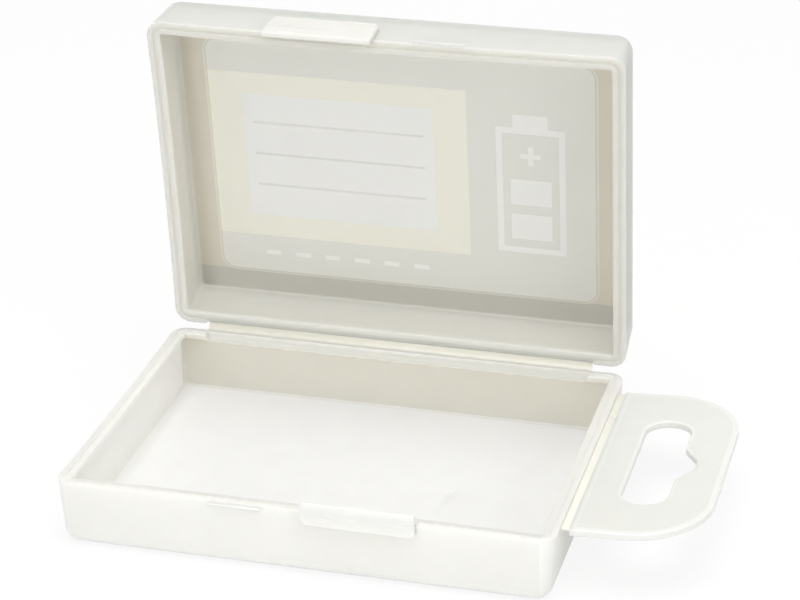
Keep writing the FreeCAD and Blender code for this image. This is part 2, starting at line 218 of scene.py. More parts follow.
class PocketBoxSnaps(PropertyGroup):
    """Sizes of the snap tongues and the beads on the front."""
    tongue_width: length("Tongue width", "Width of a snap tongue", 0.0204)
    proud: length("Tongue stand-off", "From the wall to a tongue's outside", 0.00125)
    tray_root: length("Tray root", "Length of the tray tongue's root", 0.0023)
    lid_root: length("Lid root", "Length of the lid tongue's root", 0.005)
    root_corner: length("Root corner", "Round corners at a tongue's root", 0.001)
    reach: length("Reach", "How far a tongue stands past the rim", 0.0024)
    thick: length("Thickness", "Thickness of the tongue", 0.00075)
    back_round: length("Back round", "Round at the tongue's lower edge", 0.0008)
    catch_gap: length("Catch gap", "From the wall to the catch", 0.00015)
    catch_foot: length("Catch foot", "From the rim to the catch's underside", 0.00115)
    catch_lead: length("Catch lead", "Slope at the catch's upper edge", 0.0003)
    seat: length("Seat", "How far a tongue or bead runs into its wall", 0.0005)
    edge_round: length("Edge round", "Round on the edges of a tongue", 0.00018)
    tray_place: length("Tray tongue", "From the front's middle to its own", 0.0108)
    lid_place: length("Lid tongue", "From the front's middle to its own", 0.0116)
    bead_length: length("Bead length", "Length of a bead", 0.01)
    bead_height: length("Bead height", "Height of a bead", 0.0006)
    bead_drop: length("Bead drop", "From the rim to a bead", 0.00025)
    bead_proud: length("Bead stand-off", "How far a bead stands out", 0.00042)
    bead_end: share("Bead ends", "Face length, as a share of the foot", 0.97)
    bead_top: share("Bead top", "Face height, as a share of the foot", 0.5)
    bead_round: length("Bead round", "Round on the edges of a bead", 0.0001)


class PocketBoxTab(PropertyGroup):
    """Sizes that the painted highlight along the tab's edges and round its slot follows."""
    border: length("Border", "Width of the bright border", 0.0011)
    corner: length("Corner radius", "Outer corners of the tab", 0.0134)
    slot_middle: length("Slot middle", "From the tab's root to the slot's middle", 0.010525)
    slot_radius: length("Slot radius", "Half of the slot's width", 0.004175)
    slot_half: length("Slot half length", "Half of the slot's length", 0.0158)


class PocketBoxLabel(PropertyGroup):
    """Layout of the label, from its middle, as seen from inside the lid."""
    corner: length("Corner radius", "Round corners of the label", 0.0028)
    column: area("Column", "Grey field on the right", 0.013, 0.04, -0.03, 0.03)
    foot: area("Foot", "Grey band at the bottom", -0.04, 0.013, -0.03, -0.0172)
    crown: area("Crown", "Grey band at the top", -0.04, 0.013, 0.0185, 0.03)
    note: area("Note", "White field to write on", -0.031, 0.0065, -0.0125, 0.014)
    rule: area("Rule", "Lowest line to write on", -0.029, 0.0045, -0.0059, -0.0054)
    rule_step: length("Rule step", "From line to line", 0.0068)
    cell: area("Cell", "Outline of the battery", 0.0185, 0.0318, -0.0155, 0.0115)
    cell_wall: length("Cell wall", "Width of its outline", 0.0012)
    pole: area("Pole", "Top of the battery", 0.0218, 0.0285, 0.0115, 0.0143)
    bar: area("Bar", "Lower bar in the battery", 0.0212, 0.0291, -0.0125, -0.007)
    bar_step: length("Bar step", "From bar to bar", 0.0075)
    plus_level: area("Plus, level", "Its level stroke", 0.0232, 0.0271, 0.0051, 0.0061)
    plus_upright: area("Plus, upright", "Its upright stroke", 0.02465, 0.02565, 0.0036, 0.0076)
    ticks: area("Ticks", "Row of short dashes", -0.03, 0.006, -0.0215, -0.0205)
    tick_step: length("Tick step", "Half the way from dash to dash", 0.003)
    # Painted shadow: a dark line on the panel along the label's edge.
    edge_shadow_line: length("Edge line", "Width of the dark line at its edge", 0.0003)
    # Painted highlight: a light line on the panel just outside the label's edge.
    edge_highlight: length("Halo", "Width of the light line outside it", 0.0003)
    slip: length("Slip", "How far up the print shows", 0.0004)


class PocketBoxLook(PropertyGroup):
    """Colours of the plastic and of the label; many tints of the one plastic are painted light and
    shade.
    """
    tray: colour("Tray", "Milky plastic of the tray", 0.868, 0.868, 0.84)
    # Painted light: the tray's floor is lighter, as light from the white ground shines up through
    # it.
    tray_floor_lit: colour("Tray floor", "The floor on the white ground", 0.998, 0.985, 0.935)
    # Painted shade: a darker, warmer line where the floor rounds up into the walls.
    crease_shade: colour("Crease", "Line where floor and walls meet", 0.86, 0.8, 0.72)
    # Painted light: the inner faces of the side and front walls are lighter, as light shining in
    # through the walls.
    tray_wall_lit: colour("Tray walls", "Inner faces of the side walls", 0.995, 0.985, 0.935)
    # Painted shade: the back wall's inner face is darker, in the shadow of the open lid.
    tray_back_shade: colour("Tray back", "Inner face of the back wall", 0.765, 0.75, 0.69)
    # Painted shade: the thin plastic in the notch is darker, as the light goes through it.
    notch: colour("Notch", "Thin plastic in the notch", 0.74, 0.735, 0.68)
    # Painted shade: the lid's plastic is darker than the tray's, as the lid stands in its own
    # shadow.
    lid: colour("Lid", "Milky plastic of the lid", 0.725, 0.742, 0.715)
    # Painted light: the lid's inner walls are lighter than its outside.
    lid_wall_lit: colour("Lid walls", "Inner faces of the lid's walls", 0.8, 0.79, 0.735)
    tray_rim: colour("Tray rim", "Plastic along the tray's rim", 0.865, 0.855, 0.81)
    # Painted light: the lid's rim is lighter than the rest of the lid.
    lid_rim_lit: colour("Lid rim", "Plastic along the lid's rim", 0.81, 0.8, 0.75)
    # Painted shade: the bare panel is darker than the rest of the lid, and darker still between the
    # label and the hinge.
    panel: colour("Panel", "The lid's panel beside the label", 0.66, 0.635, 0.565)
    panel_low_shade: colour("Lower panel", "The panel between label and hinge", 0.555, 0.545, 0.505)
    tab: colour("Tab", "Frosted plastic of the tab", 0.785, 0.79, 0.76)
    # Painted highlight: the tab is lighter along its edges and round its slot.
    tab_edge_highlight: colour("Tab border", "The tab along its edges", 0.835, 0.84, 0.81)
    # Painted light: the webs are lighter and warmer than the tray, making up for the shade that
    # they lie in.
    web: colour("Web", "Thin plastic of the webs", 0.91, 0.895, 0.82)
    # Painted highlight: the tray's tongue and bead are whiter than the tray, standing in for their
    # glossy brightness.
    tray_snap: colour("Tray snap", "The tray's tongue and bead", 0.94, 0.93, 0.88)
    # Painted highlight and shade: the lid's tongue and bead are lighter than the lid for their
    # gloss, and darker than the tray's as the lid's shade.
    lid_snap: colour("Lid snap", "The lid's tongue and bead", 0.81, 0.805, 0.765)
    paper: colour("Label white", "Bare film of the label", 0.9, 0.9, 0.87)
    grey: colour("Label grey", "Grey ink", 0.42, 0.43, 0.41)
    yellow: colour("Label yellow", "Pale yellow ink", 0.88, 0.77, 0.42)
    # The label's print as it shows through the panel, painted into the panel's colour, all lighter
    # than the bare panel as painted light that the label sends back through the plastic.
    seen_paper: colour("Seen white", "Label white seen inside", 0.99, 0.975, 0.905)
    seen_grey: colour("Seen grey", "Label grey seen inside", 0.81, 0.81, 0.755)
    seen_yellow: colour("Seen yellow", "Label yellow seen inside", 0.985, 0.935, 0.79)
    tray_cover: share("Tray cover", "Light that the tray stops", 0.86)
    lid_cover: share("Lid cover", "Light that the lid stops", 0.72)
    panel_cover: share("Panel cover", "Light that the lid's panel stops", 0.94)
    tab_cover: share("Tab cover", "Light that the tab stops", 0.86)
    web_cover: share("Web cover", "Light that the webs stop", 0.92)
    snap_cover: share("Snap cover", "Light that tongues and beads stop", 0.9)
    soft_depth: length("Soft depth", "How far light spreads in thick plastic", 0.0022)
    web_softness: share("Web softness", "Share of the soft depth in the thin webs", 0.15)
    # Painted highlight: the tray's lower edge and upright corners are lighter, as light glowing
    # along them.
    edge: colour("Edges", "The tray's lower edge and corners", 0.94, 0.95, 0.925)
    edge_height: share("Edge height", "Light edge's height, as a share of its radius", 0.6)
    edge_side: share("Edge side", "Light corner's width, as a share of its radius", 0.8)
    line_shade: share("Line shade", "Brightness of the label's edge on the panel", 0.85)
    half_rough: share("Half roughness", "Roughness of the tray and the lid", 0.34)
    tab_rough: share("Tab roughness", "Roughness of the frosted tab", 0.42)
    web_rough: share("Web roughness", "Roughness of the webs", 0.28)
    snap_rough: share("Snap roughness", "Roughness of the tongues and beads", 0.26)
    web_marks: share("Web marks", "Strength of the marks on the webs", 0.5)
    snap_marks: share("Snap marks", "Strength of the marks on tongues and beads", 0.4)


class PocketBoxStudio(PropertyGroup):
    """Light and ground of the studio."""
    ground_size: length("Ground size", "Side of the square ground", 6.0)
    sky: colour("Sky", "The even light", 1.0, 0.99, 0.97)
    ground_colour: colour("Ground", "The ground in the light", 0.9, 0.9, 0.9)
    ambient: power("Ambient", "Strength of the even light", 0.485)
    overhead: power("Overhead", "Power of the lamp above, in watts", 5.2)
    front_fill: power("Fill", "Power of the low front lamp, in watts", 2.05)
    side_fill: power("Side", "Power of the soft lamp on the right, in watts", 1.0)
    ground: share("Ground white", "How far the ground is plain white", 0.86)


def arithmetic(operation, swapped=False):
    """A method that combines a value with another one in a maths node."""
    def method(value, *others):
        values = (*others, value) if swapped else (value, *others)
        return value.finish.node("Math", values, operation=operation)
    return method


class Value:
    """A number that varies over a surface, for plain arithmetic."""

    def __init__(self, finish, socket):
        self.finish = finish
        self.socket = socket

    __add__ = arithmetic("ADD")
    __sub__ = arithmetic("SUBTRACT")
    __rsub__ = arithmetic("SUBTRACT", swapped=True)
    __mul__ = arithmetic("MULTIPLY")
    __lt__ = arithmetic("LESS_THAN")
    __gt__ = arithmetic("GREATER_THAN")
    __abs__ = arithmetic("ABSOLUTE")
    __or__ = arithmetic("MAXIMUM")


class Finish:
    """The nodes of a material, or of the world, under construction."""

    def __init__(self, owner):
        owner.use_nodes = True
        self.owner = owner
        self.tree = owner.node_tree

    def node(self, kind, values=(), output=0, **settings):
        """Add a node: its settings first, then the values or links of its sockets."""
        made = self.tree.nodes.new("ShaderNode" + kind)
        for setting, choice in settings.items():
            setattr(made, setting, choice)
        for key, value in (values.items() if isinstance(values, dict) else enumerate(values)):
            self.feed(made.inputs[key], value)
        return Value(self, made.outputs[output])

    def feed(self, socket, value):
        if isinstance(value, Value):
            self.tree.links.new(value.socket, socket)
        else:
            socket.default_value = value

    def set(self, node_name, values):
        """Feed sockets of a node that is there already."""
        for name, value in values.items():
            self.feed(self.tree.nodes[node_name].inputs[name], value)

    def place(self, frame_of_piece=None):
        """The place on the surface, in metres, in the part's frame or in a piece's own."""
        spot = self.node("TexCoord", output="Object")
        if frame_of_piece is None:
            return spot
        back = frame_of_piece.inverted()
        return self.node("Mapping", {
            "Vector": spot, "Location": back.to_translation(), "Rotation": back.to_euler()})

    def axes(self, spot):
        """The three numbers of a place."""
        first = self.node("SeparateXYZ", [spot])
        return [Value(self, socket) for socket in first.socket.node.outputs]

    def noise(self, spot, per_metre, detail=2.0, distortion=0.0):
        return self.node("TexNoise", {
            "Vector": spot, "Scale": per_metre, "Detail": detail, "Distortion": distortion})

    def mix(self, factor, first, second):
        return self.node("Mix", {0: factor, 6: first, 7: second}, output=2, data_type="RGBA")

    def bump(self, height, depth, strength):
        return self.node("Bump", {"Height": height, "Distance": depth, "Strength": strength})


def shade(tint, brightness):
    return [channel * brightness for channel in tint[:3]] + [1.0]


def milky_plastic(name, tint, cover, roughness, marks=1.0, softness=1.0):
    """Translucent moulded plastic: soft inside, hazy, with faint flow and handling marks."""
    finish = Finish(bpy.data.materials.new(name))
    spot = finish.place()
    flow = finish.noise(spot, per_metre=34.0, detail=3.0, distortion=1.2)
    haze = finish.noise(spot, per_metre=160.0, detail=4.0)
    grain = finish.noise(spot, per_metre=2600.0)
    drawn = finish.node("Mapping", {
        "Vector": spot, "Rotation": STREAK_TURN, "Scale": STREAKS_PER_METRE})
    scuffs = finish.noise(drawn, per_metre=1.0) > SCUFF_LEVEL
    body = finish.mix(flow, shade(tint, 1 - FLOW_TINT * marks), tint)
    finish.set("Principled BSDF", {
        "Base Color": body,
        "Roughness": ((haze - 0.5) * (HAZE_ROUGH * marks) + scuffs * (SCUFF_ROUGH * marks)
                      + roughness),
        "Alpha": (haze - 0.5) * HAZE_COVER + cover,
        "Normal": finish.bump(grain * GRAIN_BUMP + haze * HAZE_BUMP, depth=0.00004, strength=0.25),
        "IOR": PLASTIC_IOR,
        "Subsurface Weight": SOFT_SHARE,
        "Subsurface Radius": SOFT_COLOUR,
        "Subsurface Scale": settings()[4].soft_depth * softness,
    })
    return finish, body, haze


def settings():
    """The property groups of the halves, the hinge, the snaps, the label and the look."""
    scene = bpy.context.scene
    return (scene.pocket_box_halves, scene.pocket_box_hinge, scene.pocket_box_snaps,
            scene.pocket_box_label, scene.pocket_box_look)


def lid_place():
    """The frame of the lid's rim in the part's frame, at rest."""
    halves, hinge = settings()[:2]
    axis = Vector(HINGES["lid_hinge"]["pos_m"])
    up = axis.z - halves.tray_depth - hinge.lid_gap
    return (Matrix.Translation(axis) @ Matrix.Rotation(hinge.open_turn, 4, "X")
            @ Matrix.Translation((0, axis.y, up)) @ Matrix.Rotation(math.pi, 4, "Z"))


def tray_place():
    return Matrix.Translation((0, 0, settings()[0].tray_depth))


def label_block():
    """Lowest and highest corner of the label in the lid's own frame, from its solid."""
    back = lid_place().inverted()
    corners = [back @ vertex.co for vertex in frame["nodes"]["lid_label"].data.vertices]
    low = Vector([min(corner[axis] for corner in corners) for axis in range(3)])
    high = Vector([max(corner[axis] for corner in corners) for axis in range(3)])
    return low, high


def rounded_block(across, up, half_length, half_width, radius):
    """A mask that is 1 inside a rectangle with round corners about the middle."""
    beside = (abs(across) - (half_length - radius)) | 0.0
    above = (abs(up) - (half_width - radius)) | 0.0
    return (beside * beside + above * above) < radius * radius


def inside_walls(x, y, halves):
    """A mask that is 1 between the inner walls of a half."""
    return ((abs(x) < halves.long_side / 2 - halves.wall + SKIN)
            * (abs(y) < halves.short_side / 2 - halves.wall + SKIN))


def outline(halves):
    """Half of the rim's length and half of its width."""
    return halves.long_side / 2, halves.short_side / 2


def tray_finish(name):
    """The tray's plastic, with painted light on its floor, its inner side and front walls, its
    lower edge and its corners, painted shade on its back wall, in the notch and along the floor's
    rounded edge, and a warmer tone along its rim.
    """
    halves, hinge, _, _, look = settings()
    finish, body, haze = milky_plastic(name, look.tray, look.tray_cover, look.half_rough)
    wide, deep = outline(halves)
    x, y, z = finish.axes(finish.place(tray_place()))
    inner = inside_walls(x, y, halves) * (z < -2 * SKIN)
    floor = inner * (z < halves.floor + 3 * SKIN - halves.tray_depth)
    back = deep - hinge.land
    notch = ((abs(x) < hinge.half_length) * (y > back - hinge.notch_slope - SKIN)
             * (y < back + SKIN) * (z > -hinge.notch_drop - SKIN) * (z < -SKIN))
    # Painted shade on the back wall's inner face, from the open lid above it.
    shaded_back_wall = y > deep - halves.ridge - 2 * SKIN
    # Painted highlight along the lower edge and the upright corners.
    foot = z < halves.under_edge * look.edge_height - halves.tray_depth
    margin = halves.corner * look.edge_side
    corners = (abs(x) > wide - margin) * (abs(y) > deep - margin)
    body = finish.mix((foot | corners) * SHOWS["edges"], body, look.edge)
    # Painted light on the inner walls, and painted shade on the back wall.
    shown = finish.mix(inner, body, finish.mix(shaded_back_wall, look.tray_wall_lit, look.tray_back_shade))
    # Painted light on the floor, as light from the white ground shining up through it, varied by
    # the haze.
    shown = finish.mix(floor * (haze * HAZE_FLOOR + (1 - HAZE_FLOOR)), shown, look.tray_floor_lit)
    # Painted shade along the floor's rounded edge, where it meets the walls.
    rise = halves.wall + halves.floor_round
    flat = rounded_block(x, y, wide - rise, deep - rise, halves.floor_round)
    shown = finish.mix(floor * (1 - flat) * SHOWS["crease_shade"], shown, look.crease_shade)
    shown = finish.mix((z > -2 * SKIN) * SHOWS["tray_rim"], shown, look.tray_rim)
    # Painted shade in the notch.
    shown = finish.mix(notch * SHOWS["notch"], shown, look.notch)
    finish.set("Principled BSDF", {"Base Color": shown})


def label_axes(finish, slip=0.0):
    """Across and up from the label's middle, as seen from inside the lid, and the lid's depth."""
    low, high = label_block()
    centre = (low + high) / 2
    x, y, z = finish.axes(finish.place(lid_place()))
    return centre.x - x, centre.y - slip - y, z


def lid_finish(name):
    """The lid's plastic, darker than the tray's as painted shade, with painted light on its inner
    walls and rim and painted shade on the bare panel. Where the label lies on the panel its print
    shows through, painted into the panel's colour with painted light from the label.
    """
    halves, _, _, label, look = settings()
    finish, body, haze = milky_plastic(name, look.lid, look.lid_cover, look.half_rough)
    x, y, z = finish.axes(finish.place(lid_place()))
    inner = inside_walls(x, y, halves) * (z > halves.floor / 2 - halves.lid_depth) * (z < -2 * SKIN)
    panel = inner * (z < halves.floor + SKIN - halves.lid_depth)
    low, high = label_block()
    half = (high - low) / 2
    across, up, _ = label_axes(finish, label.slip)

    def within(margin):
        return rounded_block(across, up, half.x + margin, half.y + margin, label.corner + margin)

    backed = within(0.0)
    # Painted shadow along the label's edge.
    edge_shadow_line = backed * (1 - within(-label.edge_shadow_line))
    # Painted highlight just outside the label's edge.
    edge_highlight = within(label.edge_highlight) * (1 - backed)
    # The print seen through the panel, painted in, with painted light from the label behind it.
    inked = label_print(finish, across, up, label,
                        look.seen_paper, look.seen_grey, look.seen_yellow)
    inked = finish.mix(haze * HAZE_PRINT, inked, look.panel)
    inked = finish.mix(edge_shadow_line * SHOWS["label_shadow_line"], inked, shade(look.panel, look.line_shade))
    # Painted shade on the bare panel, deeper between the label and the hinge.
    under_label = up < -half.y
    bare_panel_shade = finish.mix(under_label, look.panel, look.panel_low_shade)
    bare_panel_shade = finish.mix(edge_highlight * SHOWS["edge_highlight"], bare_panel_shade, look.seen_paper)
    # Painted light on the lid's inner walls.
    walls = finish.mix(inner, body, look.lid_wall_lit)
    # Painted light along the lid's rim.
    walls = finish.mix((z > -5 * SKIN) * SHOWS["lid_rim_lit"], walls, look.lid_rim_lit)
    shown = finish.mix(panel, walls, finish.mix(backed, bare_panel_shade, inked))
    whole_panel = z < halves.floor + SKIN - halves.lid_depth
    finish.set("Principled BSDF", {
        "Base Color": shown,
        "Alpha": ((haze - 0.5) * HAZE_COVER + look.lid_cover
                  + whole_panel * (look.panel_cover - look.lid_cover)),
    })


def label_print(finish, across, up, label, paper, ink, warm):
    """Battery outline on a grey column, write-on field with rules on a pale yellow field."""
    def field(edges, shift=0.0, inset=0.0):
        left, right, bottom, top = edges
        return ((abs(across - (left + right) / 2) < (right - left) / 2 - inset)
                * (abs(up - (bottom + top) / 2 - shift) < (top - bottom) / 2 - inset))

    note = field(label.note)
    rules = (field(label.rule) | field(label.rule, label.rule_step)
             | field(label.rule, 2 * label.rule_step))
    hollow = field(label.cell, inset=label.cell_wall)
    battery = (field(label.cell) | field(label.pole)) * (1 - hollow)
    inside = (field(label.bar) | field(label.bar, label.bar_step)
              | field(label.plus_level) | field(label.plus_upright))
    step = finish.node("Math", [across, label.tick_step], operation="PINGPONG")
    ticks = field(label.ticks) * (step > label.tick_step / 2)
    grey = field(label.column) | field(label.foot) | field(label.crown)
    white = battery | inside | ticks | (note * (1 - rules))
    shown = finish.mix(grey, warm, ink)
    shown = finish.mix(white, shown, paper)
    return finish.mix(note * rules, shown, ink)


def label_finish(name):
    """Printed film, paler on the side that lies on the lid."""
    _, _, _, label, look = settings()
    finish = Finish(bpy.data.materials.new(name))
    low, high = label_block()
    across, up, z = label_axes(finish)
    inked = label_print(finish, across, up, label, look.paper, look.grey, look.yellow)
    inner = z > (low.z + high.z) / 2
    seen = finish.mix(inner * SHOWS["label_back"], inked, look.paper)
    spot = finish.place()
    fibre = finish.noise(spot, per_metre=900.0, detail=3.0)
    blotch = finish.noise(spot, per_metre=60.0)
    finish.set("Principled BSDF", {
        "Base Color": finish.mix(blotch * BLOTCH_TINT, seen, shade(look.paper, BLOTCH_SHADE)),
        "Roughness": fibre * FIBRE_ROUGH + FILM_ROUGH,
        "Normal": finish.bump(fibre, depth=0.00002, strength=0.3),
    })


def tab_finish(name):
    """The tab's frosted plastic, with a painted highlight along its outline and round its slot."""
    look = settings()[4]
    tab = bpy.context.scene.pocket_box_tab
    finish, body, _ = milky_plastic(name, look.tab, look.tab_cover, look.tab_rough)
    low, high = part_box("hang_tab")
    x, y, _ = finish.axes(finish.place())
    face = rounded_block(x, y, high.x - tab.border, high.y - tab.border, tab.corner - tab.border)
    root = x < low.x + tab.border
    lip = tab.slot_radius + tab.border / 2
    slot = rounded_block(x - (low.x + tab.slot_middle), y, lip, tab.slot_half + tab.border / 2, lip)
    # Painted highlight along the tab's outline and round its slot.
    edge = ((1 - face) | root) | slot
    finish.set("Principled BSDF", {"Base Color": finish.mix(edge, body, look.tab_edge_highlight)})


def finishes():
    """Every finish, made once and then found by name."""
    look = settings()[4]
    if "tray_milk" not in bpy.data.materials:
        tray_finish("tray_milk")
        lid_finish("lid_milk")
        tab_finish("tab_milk")
        label_finish("label_print")
        milky_plastic("web_milk", look.web, look.web_cover, look.web_rough, look.web_marks,
                      look.web_softness)
        # The snaps' tints carry painted highlight and shade.
        for name, tint in (("tray_snap_milk", look.tray_snap), ("lid_snap_milk", look.lid_snap)):
            milky_plastic(name, tint, look.snap_cover, look.snap_rough, look.snap_marks)
    return bpy.data.materials


def leave_edit():
    bpy.ops.object.mode_set(mode="OBJECT")


def deselect():
    if bpy.context.object and bpy.context.object.mode != "OBJECT":
        leave_edit()
    bpy.ops.object.select_all(action="DESELECT")


def start_piece(name):
    """Name the new primitive, apply its size and go into edit mode."""
    bpy.ops.object.transform_apply(location=True, rotation=True, scale=True)
    piece = bpy.context.object
    piece.name = piece.data.name = name
    bpy.ops.object.mode_set(mode="EDIT")
    return piece


def block_at(name, low, high):
    """Start a piece as a block between two corners, left in edit mode."""
    deselect()
    low, high = Vector(low), Vector(high)
    bpy.ops.mesh.primitive_cube_add(size=1.0, location=(low + high) / 2, scale=high - low)
    return start_piece(name)


def pick(kind, test):
    """Select the corners, edges or faces of the piece in edit mode that a test picks."""
    piece = bpy.context.edit_object
    bpy.ops.mesh.select_mode(type=kind)
    bpy.ops.mesh.select_all(action="DESELECT")
    mesh = bmesh.from_edit_mesh(piece.data)
    parts = {"VERT": mesh.verts, "EDGE": mesh.edges, "FACE": mesh.faces}[kind]
    found = [part for part in parts if test(part)]
    if not found:
        raise RuntimeError(f"{piece.name}: nothing to select")
    for part in found:
        part.select_set(True)
    mesh.select_flush_mode()
    bmesh.update_edit_mesh(piece.data)


def lies(part, axis, place):
    """Whether all of an edge or face lies at one place along an axis."""
    return all(abs(corner.co[axis] - place) < HAIR for corner in part.verts)


def level(part, height):
    return lies(part, 2, height)


def upright(edge, least):
    return abs(edge.verts[0].co.z - edge.verts[1].co.z) > least


def push(x=0.0, y=0.0, z=0.0):
    bpy.ops.transform.translate(value=(x, y, z))


def pull_out(x=0.0, y=0.0, z=0.0):
    bpy.ops.mesh.extrude_region_move(TRANSFORM_OT_translate={"value": (x, y, z)})


def bevel(group, size):
    """Round or slope the picked edges by one of a group's sizes."""
    bpy.ops.mesh.bevel(offset=getattr(group, size), segments=ROUND_STEPS[size])


def slice_all(place, normal):
    bpy.ops.mesh.select_all(action="SELECT")
    bpy.ops.mesh.bisect(plane_co=place, plane_no=normal)


def modify(piece, kind, **choices):
    bpy.context.view_layer.objects.active = piece
    modifier = piece.modifiers.new(kind.lower(), kind)
    for setting, choice in choices.items():
        setattr(modifier, setting, choice)
    bpy.ops.object.modifier_apply(modifier=modifier.name)


def cut_away(piece, cutter):
    """Leave edit mode and take a cutter's room out of a piece."""
    deselect()
    modify(piece, "BOOLEAN", operation="DIFFERENCE", solver="EXACT", object=cutter)
    bpy.data.objects.remove(cutter)


def settle(piece, material, body, node, place=None, smooth=40.0):
    """Put a finished piece in its place, smooth it and let it stand for its node."""
    deselect()
    piece.select_set(True)
    bpy.context.view_layer.objects.active = piece
    if place is not None:
        piece.matrix_world = place
        bpy.ops.object.transform_apply(location=True, rotation=True, scale=True)
    bpy.ops.object.shade_smooth_by_angle(angle=math.radians(smooth))
    piece.data.materials.clear()
    piece.data.materials.append(finishes()[material])
    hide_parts(node)
    if body:
        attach(piece, body)


def round_edges(piece, group, size):
    modify(piece, "BEVEL", width=getattr(group, size), segments=ROUND_STEPS[size],
           limit_method="ANGLE", angle_limit=math.radians(SHARP_EDGE))
    modify(piece, "WEIGHTED_NORMAL", keep_sharp=True)


def half_shell(name, depth, is_tray):
    """One half of the box, from a block: drafted, rounded, hollowed and with its rim's profile."""
    halves = settings()[0]
    x, y = outline(halves)
    piece = block_at(name, (-x, -y, -depth), (x, y, 0))
    drawn_in = depth * math.tan(halves.draft)
    pick("FACE", lambda face: level(face, -depth))
    bpy.ops.transform.resize(value=(1 - drawn_in / x, 1 - drawn_in / y, 1),
                             center_override=(0, 0, -depth))
    pick("EDGE", lambda edge: upright(edge, depth / 2))
    bevel(halves, "corner")
    pick("EDGE", lambda edge: level(edge, -depth))
    bevel(halves, "under_edge")

    pick("FACE", lambda face: level(face, 0))
    play = halves.tongue_play if is_tray else 0.0
    start = halves.groove_start + play
    width = halves.groove_width - 2 * play
    step = halves.tongue_height if is_tray else -halves.groove_depth
    bpy.ops.mesh.inset(thickness=start)
    pull_out(z=step)
    bpy.ops.mesh.inset(thickness=width)
    pull_out(z=-step)
    bpy.ops.mesh.inset(thickness=halves.ridge - start - width)
    pull_out(z=-halves.ridge_height)
    under = halves.ridge - halves.wall
    pull_out(z=-under)
    wider = [1 + under / (half - halves.ridge) for half in (x, y)]
    bpy.ops.transform.resize(value=(*wider, 1))
    inner_floor = halves.floor - depth
    pull_out(z=inner_floor + halves.ridge_height + under)
    pick("EDGE", lambda edge: level(edge, inner_floor))
    bevel(halves, "floor_round")
    bend_rims(halves, is_tray)
    leave_edit()
    return piece


def bow_at(middle, halves):
    """How far the front rim bends in at a place along it."""
    return halves.front_bow * (1 - (middle / (halves.long_side / 2)) ** 2)


def bend_rims(halves, is_tray):
    """Cut the walls at even steps, and bend the front rim and the shut box's left rim inwards."""
    x, y = outline(halves)
    rim = -halves.ridge_height * 2
    near_wall = 0.85
    columns = [x * step / COLUMNS for step in range(1 - COLUMNS, COLUMNS)]
    rows = [y * step / ROWS for step in range(1 - ROWS, ROWS)]
    for column in columns:
        slice_all((column, 0, 0), (1, 0, 0))
    for row in rows:
        slice_all((0, row, 0), (0, 1, 0))
    for column in columns:
        pick("VERT", lambda corner: abs(corner.co.x - column) < HAIR
             and corner.co.y < -y * near_wall and corner.co.z > rim)
        push(y=bow_at(column, halves))
    side = -1 if is_tray else 1
    for row in rows:
        pick("VERT", lambda corner: abs(corner.co.y - row) < HAIR
             and corner.co.x * side > x * near_wall and corner.co.z > rim)
        push(x=-side * halves.side_bow * (1 - (row / y) ** 2))


class POCKETBOX_OT_tray(Operator):
    """Model the tray with its tongue, hinge notch and gate mark"""
    bl_idname = "pocketbox.tray"
    bl_label = "Tray"

    def execute(self, context):
        halves, hinge = settings()[:2]
        tray = half_shell("tray", halves.tray_depth, True)
        back = halves.short_side / 2 - hinge.land
        inner = back - halves.ridge - CLEAR
        notch = block_at("notch", (-hinge.half_length, inner, -hinge.notch_drop),
                         (hinge.half_length, back, halves.tongue_height + CLEAR))
        pick("FACE", lambda face: level(face, -hinge.notch_drop))
        bpy.ops.transform.resize(value=(1 - hinge.end_slope / hinge.half_length, 1, 1))
        pick("EDGE", lambda edge: level(edge, -hinge.notch_drop) and lies(edge, 1, back))
        bevel(hinge, "notch_slope")
        cut_away(tray, notch)
        deselect()
        pit = halves.floor - halves.tray_depth - halves.gate_depth
        bpy.ops.mesh.primitive_cylinder_add(vertices=28, radius=halves.gate_radius, depth=2 * CLEAR,
                                            location=(halves.gate_place, 0, pit + CLEAR))
        gate = start_piece("gate")
        cut_away(tray, gate)
        round_edges(tray, halves, "rim_round")
        settle(tray, "tray_milk", "base", "base_tray", tray_place())
        return {"FINISHED"}


class POCKETBOX_OT_lid(Operator):
    """Model the lid with its groove and hinge recess"""
    bl_idname = "pocketbox.lid"
    bl_label = "Lid"

    def execute(self, context):
        halves, hinge = settings()[:2]
        lid = half_shell("lid", halves.lid_depth, False)
        back = halves.short_side / 2
        inner = back - hinge.recess_width
        recess = block_at("recess", (-hinge.half_length, inner, -hinge.recess_depth),
                          (hinge.half_length, back + CLEAR, CLEAR))
        cut_away(lid, recess)
        lid.select_set(True)
        bpy.ops.object.mode_set(mode="EDIT")
        pick("EDGE", lambda edge: abs(abs(edge.verts[0].co.x) - hinge.half_length) < HAIR
             and abs(edge.verts[1].co.x - edge.verts[0].co.x) < HAIR
             and min(corner.co.y for corner in edge.verts) > back - SKIN
             and upright(edge, hinge.recess_depth / 2))
        bevel(hinge, "lip_round")
        leave_edit()
        round_edges(lid, halves, "rim_round")
        settle(lid, "lid_milk", "lid", "lid_shell", lid_place())
        return {"FINISHED"}


def on_bent_wall(piece, middle, size):
    """Move a piece in with the front wall that it stands on, and round its edges."""
    halves, _, snaps = settings()[:3]
    bpy.ops.mesh.select_all(action="SELECT")
    push(y=bow_at(middle, halves))
    leave_edit()
    round_edges(piece, snaps, size)
    return piece


